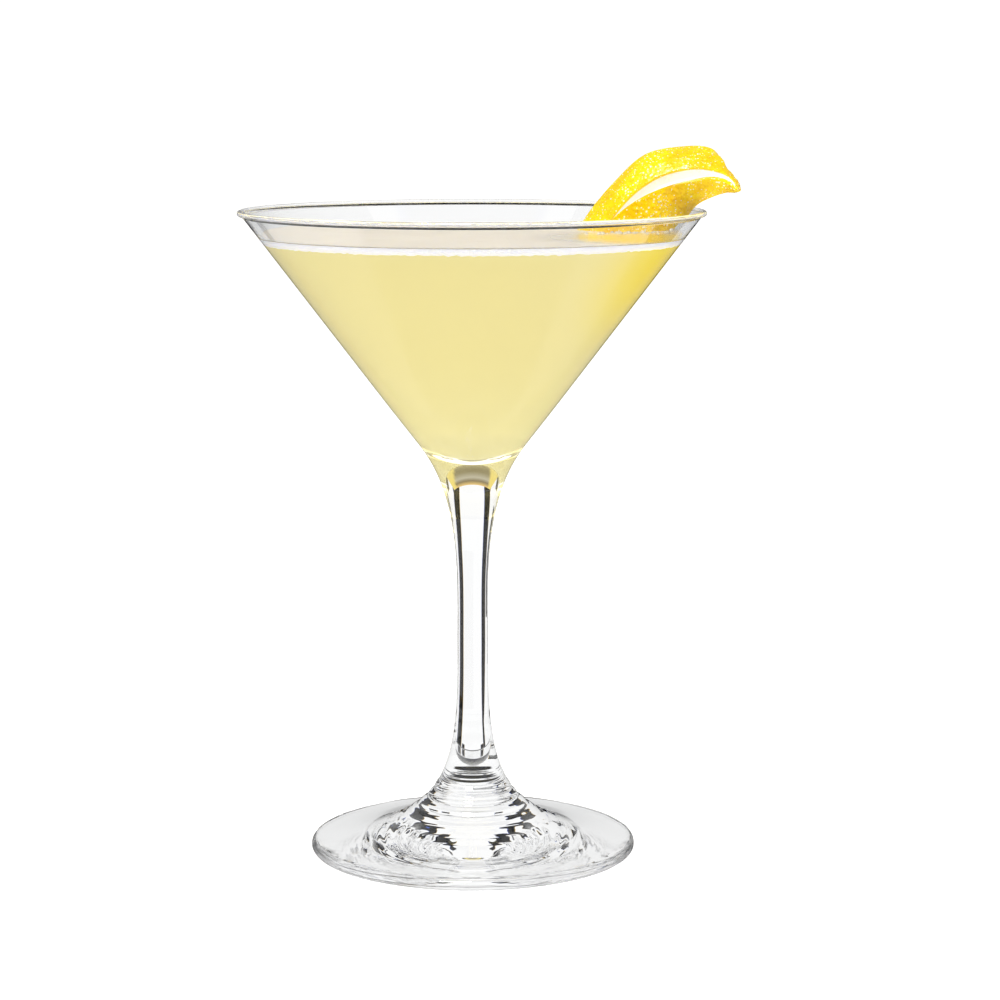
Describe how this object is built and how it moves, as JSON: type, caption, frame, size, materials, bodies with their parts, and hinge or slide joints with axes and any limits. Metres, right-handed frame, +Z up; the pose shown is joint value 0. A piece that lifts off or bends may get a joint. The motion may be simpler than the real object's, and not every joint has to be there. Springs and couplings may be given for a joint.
{
  "type": "margarita cocktail in a stemmed glass",
  "caption": "Pale cloudy margarita with a thin foam in a clear stemmed cocktail glass, with a folded lemon twist over the rim.",
  "frame": {"origin": "centre of the foot's flat underside, on the glass's axis", "axes": "+Z up along the glass's axis, +X towards the rim's side that carries the lemon twist, -Y towards the viewer"},
  "size_m": [0.1208, 0.1124, 0.1721],
  "materials": {
    "clear_glass": "polished clear",
    "pale_drink": "cloudy pale yellow liquid",
    "fine_foam": "fine off-white foam",
    "lemon_peel": "pored waxy yellow skin with white pith"
  },
  "bodies": {
    "root": {"glass": "clear_glass", "drink": "pale_drink", "foam": "fine_foam", "lemon_twist": "lemon_peel"}
  },
  "joints": []
}
